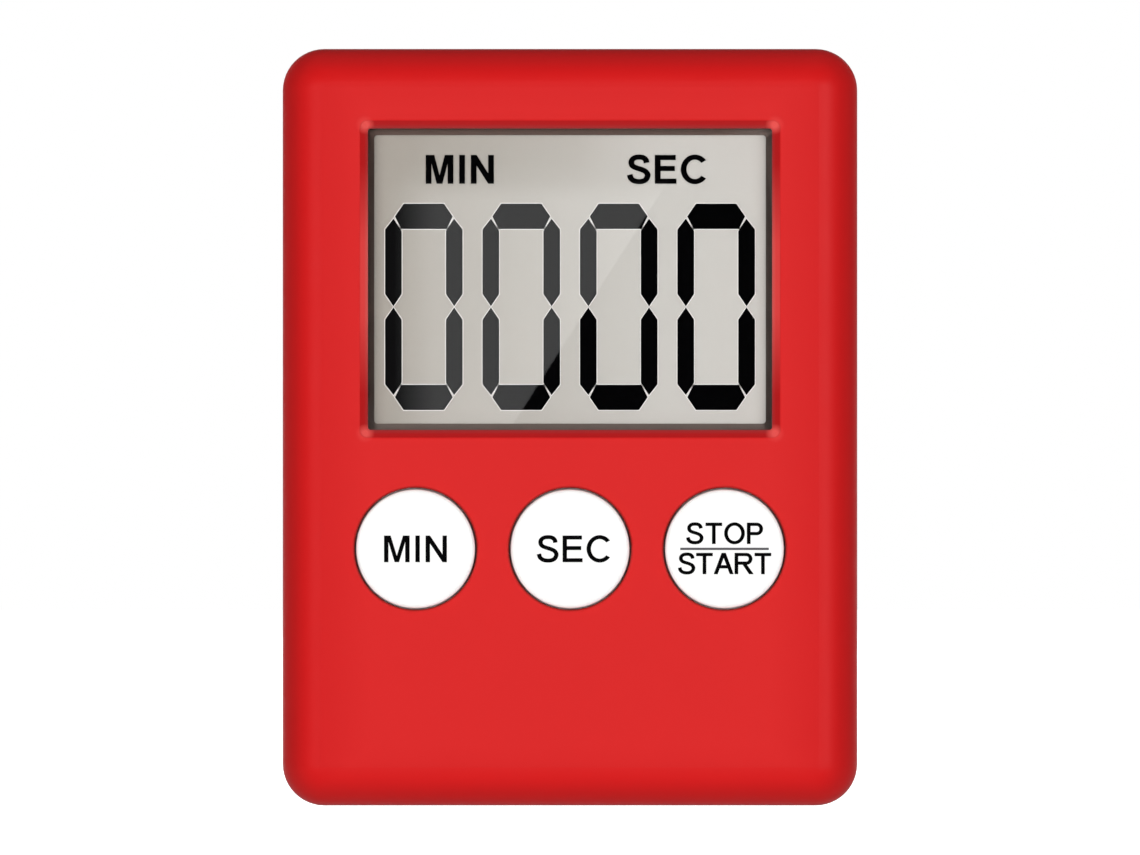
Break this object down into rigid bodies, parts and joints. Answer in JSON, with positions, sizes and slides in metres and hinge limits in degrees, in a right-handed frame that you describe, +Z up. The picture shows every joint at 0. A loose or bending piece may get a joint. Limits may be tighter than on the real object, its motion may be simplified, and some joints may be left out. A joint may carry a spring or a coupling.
{
  "type": "digital kitchen timer",
  "caption": "Upright pocket-size electronic kitchen timer with a large liquid-crystal minutes and seconds display, round push keys, fold-out stand and magnets.",
  "frame": {"origin": "on the floor under the middle of the case, halfway between the key tops and the magnet faces", "axes": "+X right seen from the front, +Y from the front face to the back, +Z up"},
  "size_m": [0.065, 0.016, 0.0856],
  "materials": {
    "case_red": "satin moulded, fine grain",
    "key_white": "satin white with black printed legend",
    "lens_clear": "clear, polished",
    "mask_dark": "matt printed film",
    "polariser_grey": "satin film",
    "display_glass": "polished",
    "seal_epoxy": "cured epoxy",
    "reflector_silver": "metallised satin film",
    "holder_white": "moulded",
    "zebra_rubber": "banded silicone",
    "mat_rubber": "silicone",
    "carbon_black": "conductive carbon",
    "board_green": "solder mask",
    "epoxy_black": "cured epoxy",
    "resistor_black": "glazed",
    "capacitor_tan": "matt",
    "crystal_can": "tinned",
    "coil_ferrite": "matt with enamelled wire",
    "screw_steel": "nickel plated",
    "contact_nickel": "nickel plated spring steel",
    "lead_black": "sleeved wire",
    "lead_red": "sleeved wire",
    "buzzer_brass": "bright",
    "buzzer_white": "silvered",
    "magnet_nickel": "nickel plated",
    "cell_sleeve": "plain printed sleeve",
    "cell_steel": "nickel plated",
    "cell_core": "compressed powder"
  },
  "bodies": {
    "case": {"battery_can": "cell_steel", "battery_core": "cell_core", "battery_negative_base": "cell_steel", "battery_positive_cap": "cell_steel", "battery_sleeve": "cell_sleeve", "board_screws": "screw_steel", "buzzer_ceramic": "buzzer_white", "buzzer_leads": "lead_black", "buzzer_plate": "buzzer_brass", "capacitors": "capacitor_tan", "case_screws": "screw_steel", "cell_seal": "seal_epoxy", "chip_blob": "epoxy_black", "circuit_board": "board_green", "clock_crystal": "crystal_can", "contact_pads": "carbon_black", "display_holder": "holder_white", "display_lens": "lens_clear", "display_mask": "mask_dark", "driver_transistor": "epoxy_black", "front_case": "case_red", "front_glass": "display_glass", "front_polariser": "polariser_grey", "keypad_mat": "mat_rubber", "left_magnet": "magnet_nickel", "negative_contact": "contact_nickel", "negative_lead": "lead_black", "positive_contact": "contact_nickel", "positive_lead": "lead_red", "rear_case": "case_red", "rear_glass": "display_glass", "rear_reflector": "reflector_silver", "resistors": "resistor_black", "right_magnet": "magnet_nickel", "step_up_coil": "coil_ferrite", "zebra_connector": "zebra_rubber"},
    "minute_key": {"minute_key": "key_white", "minute_pill": "carbon_black"},
    "second_key": {"second_key": "key_white", "second_pill": "carbon_black"},
    "start_stop_key": {"start_stop_key": "key_white", "start_stop_pill": "carbon_black"},
    "stand": {"stand": "case_red"},
    "battery_door": {"battery_door": "case_red"}
  },
  "joints": [
    {"name": "minute_key_press", "type": "slide", "parent": "case", "child": "minute_key", "axis": [0, 1, 0], "range_m": [0, 0.0008], "stiffness_N_per_m": 2000, "springref_m": -0.0003, "deforming": ["keypad_mat"]},
    {"name": "second_key_press", "type": "slide", "parent": "case", "child": "second_key", "axis": [0, 1, 0], "range_m": [0, 0.0008], "stiffness_N_per_m": 2000, "springref_m": -0.0003, "deforming": ["keypad_mat"]},
    {"name": "start_stop_key_press", "type": "slide", "parent": "case", "child": "start_stop_key", "axis": [0, 1, 0], "range_m": [0, 0.0008], "stiffness_N_per_m": 2000, "springref_m": -0.0003, "deforming": ["keypad_mat"]},
    {"name": "stand_fold", "type": "hinge", "parent": "case", "child": "stand", "pos_m": [0, 0.0063, 0.0246], "axis": [-1, 0, 0], "range_deg": [0, 105]},
    {"name": "battery_door_slide", "type": "slide", "parent": "case", "child": "battery_door", "axis": [0, 0, -1], "range_m": [0, 0.022]}
  ]
}
